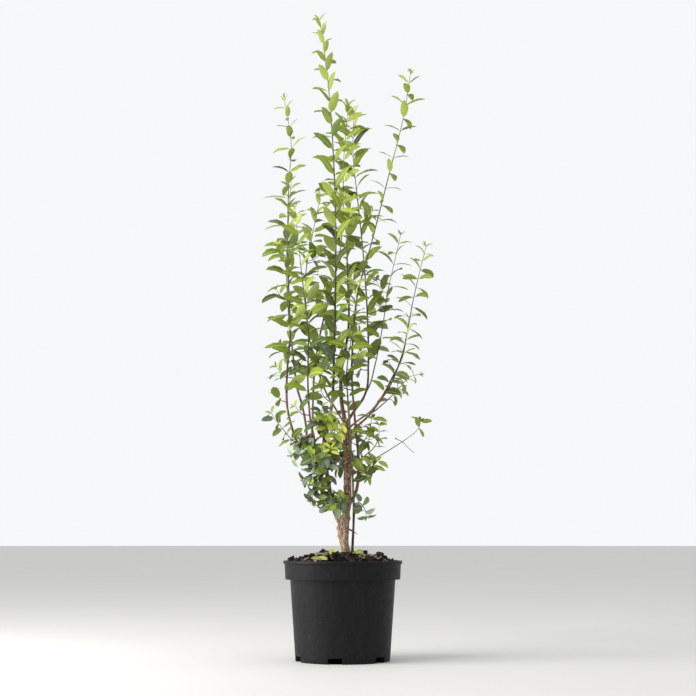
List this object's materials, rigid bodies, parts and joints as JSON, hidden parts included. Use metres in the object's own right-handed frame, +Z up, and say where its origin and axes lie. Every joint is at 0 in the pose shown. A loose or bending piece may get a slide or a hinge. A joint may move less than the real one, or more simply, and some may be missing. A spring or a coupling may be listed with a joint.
{
  "type": "potted privet shrub",
  "caption": "Young upright evergreen privet with a short forked trunk and slender leafy shoots, in a round black nursery pot filled with bark compost.",
  "frame": {"origin": "centre of the pot's flat underside", "axes": "+Z up along the pot's axis and the plant's height, -Y towards the plant's front, +X to the right of a viewer in front"},
  "size_m": [0.4053, 0.3261, 1.564],
  "materials": {
    "pot_plastic": "matt moulded polypropylene with fine scuffs",
    "bark_compost": "moist dark bark chips, rough",
    "trunk_bark": "tan bark with fine cracks, matt",
    "bough_bark": "brown bark, matt",
    "young_leaves": "fresh yellow-green leaves, slightly waxy",
    "mature_leaves": "darker green leaves, slightly waxy"
  },
  "bodies": {
    "root": {"pot": "pot_plastic", "compost": "bark_compost", "trunk": "trunk_bark", "left_stem": "bough_bark", "thin_stem": "bough_bark", "right_tall_bough": "bough_bark", "centre_bough": "bough_bark", "crossing_bough": "bough_bark", "right_rear_bough": "bough_bark", "right_outer_bough": "bough_bark", "right_front_bough": "bough_bark", "left_arm": "bough_bark", "left_outer_bough": "bough_bark", "left_rear_bough": "bough_bark", "left_front_bough": "bough_bark", "inner_bough": "bough_bark", "cut_stub": "bough_bark", "leader_shoot": "young_leaves", "right_tall_shoot": "young_leaves", "centre_shoot": "young_leaves", "rear_left_shoot": "young_leaves", "rear_shoot": "young_leaves", "right_outer_shoot": "young_leaves", "right_front_shoot": "young_leaves", "left_outer_shoot": "young_leaves", "left_rear_shoot": "young_leaves", "left_front_shoot": "young_leaves", "inner_shoot": "young_leaves", "front_shoot": "young_leaves", "right_mid_shoot": "mature_leaves", "right_low_shoot": "mature_leaves", "bare_right_twig": "mature_leaves", "right_fan": "mature_leaves", "right_drooping_twig": "mature_leaves", "left_low_twig": "mature_leaves", "left_side_cluster": "mature_leaves", "left_lower_cluster": "mature_leaves", "front_cluster": "mature_leaves", "yellow_cluster": "mature_leaves", "trunk_cluster": "mature_leaves", "left_fork_cluster": "mature_leaves", "left_bottom_cluster": "mature_leaves", "right_side_cluster": "mature_leaves", "right_low_cluster": "mature_leaves", "rear_low_cluster": "mature_leaves", "rear_right_cluster": "mature_leaves"}
  },
  "joints": []
}
